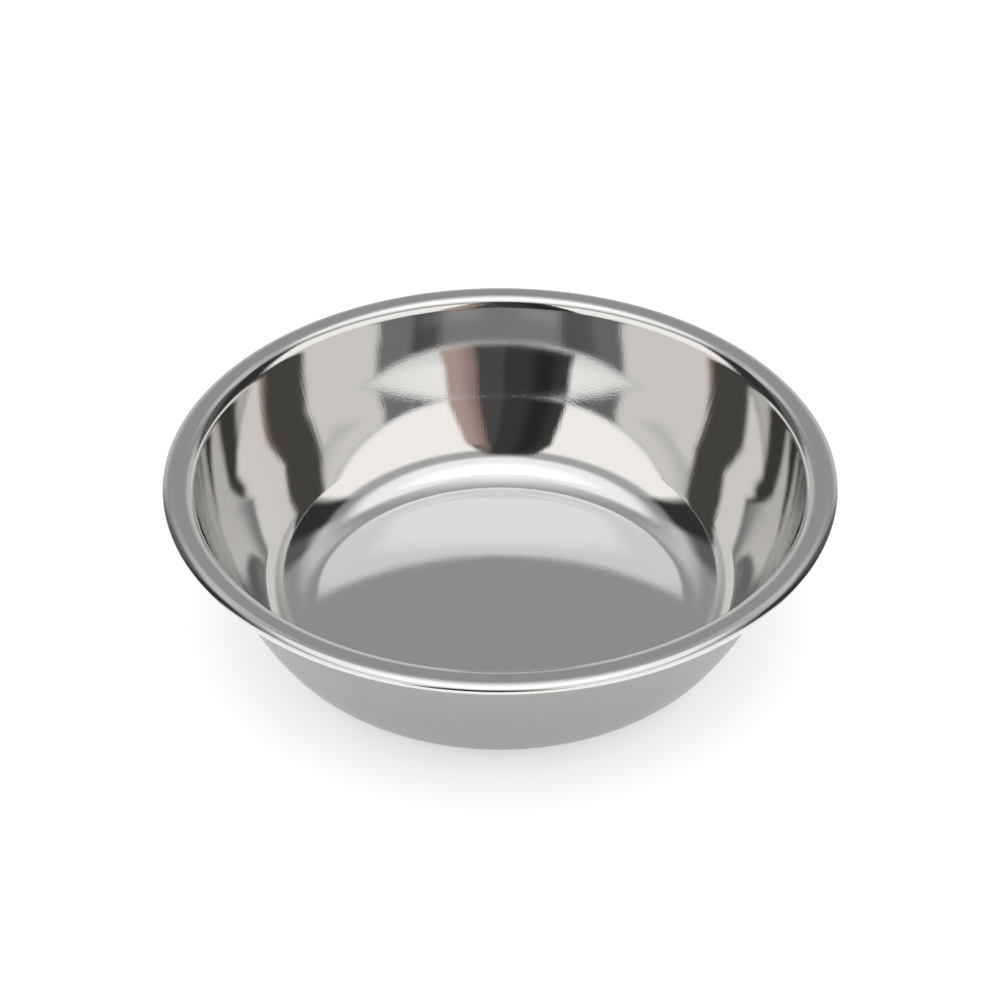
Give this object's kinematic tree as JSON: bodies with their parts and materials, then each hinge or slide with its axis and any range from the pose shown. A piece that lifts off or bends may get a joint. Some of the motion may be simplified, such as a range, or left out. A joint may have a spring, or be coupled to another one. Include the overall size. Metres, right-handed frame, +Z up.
{
  "type": "pet feeding bowl",
  "caption": "Shallow round stainless steel feeding bowl with a flat floor, flared wall and a rounded lip folded under at its edge, polished inside and satin outside.",
  "frame": {"origin": "centre of the flat underside that the bowl stands on", "axes": "+Z up along the bowl's axis of revolution; the bowl is the same from every side, so -Y is only the side that faced the camera"},
  "size_m": [0.22, 0.22, 0.06],
  "materials": {
    "steel": "mirror polish inside and on the lip, satin outside"
  },
  "bodies": {
    "root": {"bowl": "steel"}
  },
  "joints": []
}
